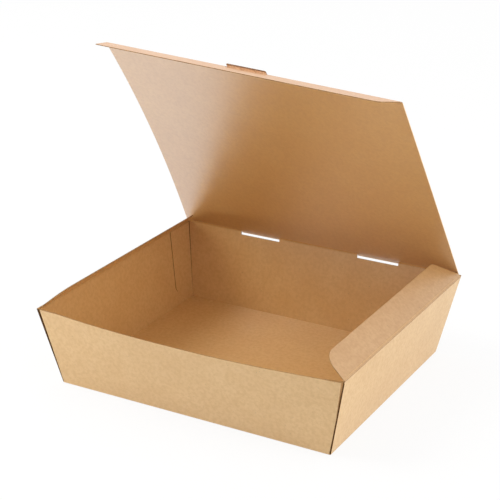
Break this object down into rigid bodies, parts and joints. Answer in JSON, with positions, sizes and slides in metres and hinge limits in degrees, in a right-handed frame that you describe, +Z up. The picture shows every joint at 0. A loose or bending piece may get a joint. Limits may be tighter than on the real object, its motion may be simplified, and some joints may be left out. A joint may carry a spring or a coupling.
{
  "type": "takeaway box",
  "caption": "Folded kraft board takeaway box with flared walls, glued corner laps, a hinged lid with a tuck flap and pull tab, and dust flaps on the side walls.",
  "frame": {"origin": "centre of the base's underside, on the table", "axes": "+X along the front towards the right-hand side, +Y from the front wall to the hinge side, +Z up"},
  "size_m": [0.2219, 0.1953, 0.2178],
  "materials": {
    "kraft_board": "uncoated, matt, fine fibres"
  },
  "bodies": {
    "tray": {"tray": "kraft_board"},
    "lid": {"lid": "kraft_board"},
    "tuck_flap": {"tuck_flap": "kraft_board"},
    "left_dust_flap": {"left_dust_flap": "kraft_board"},
    "right_dust_flap": {"right_dust_flap": "kraft_board"}
  },
  "joints": [
    {"name": "lid_hinge", "type": "hinge", "parent": "tray", "child": "lid", "pos_m": [0, 0.09574, 0.056], "axis": [-1, 0, 0], "range_deg": [-52.4, 124]},
    {"name": "tuck_flap_hinge", "type": "hinge", "parent": "lid", "child": "tuck_flap", "pos_m": [0, -0.00826, 0.21001], "axis": [0.9979, -0.0545, -0.0349], "range_deg": [-41.8, 53]},
    {"name": "left_dust_flap_hinge", "type": "hinge", "parent": "tray", "child": "left_dust_flap", "pos_m": [-0.11057, 0, 0.0551], "axis": [0, -1, 0], "range_deg": [-40.9, 95.6]},
    {"name": "right_dust_flap_hinge", "type": "hinge", "parent": "tray", "child": "right_dust_flap", "pos_m": [0.11057, 0, 0.0551], "axis": [0, 1, 0], "range_deg": [-35.6, 83.2]}
  ],
  "couplings": [
    {"joint": "left_dust_flap_hinge", "follows": "lid_hinge", "ratio": 0.77},
    {"joint": "right_dust_flap_hinge", "follows": "lid_hinge", "ratio": 0.67}
  ]
}
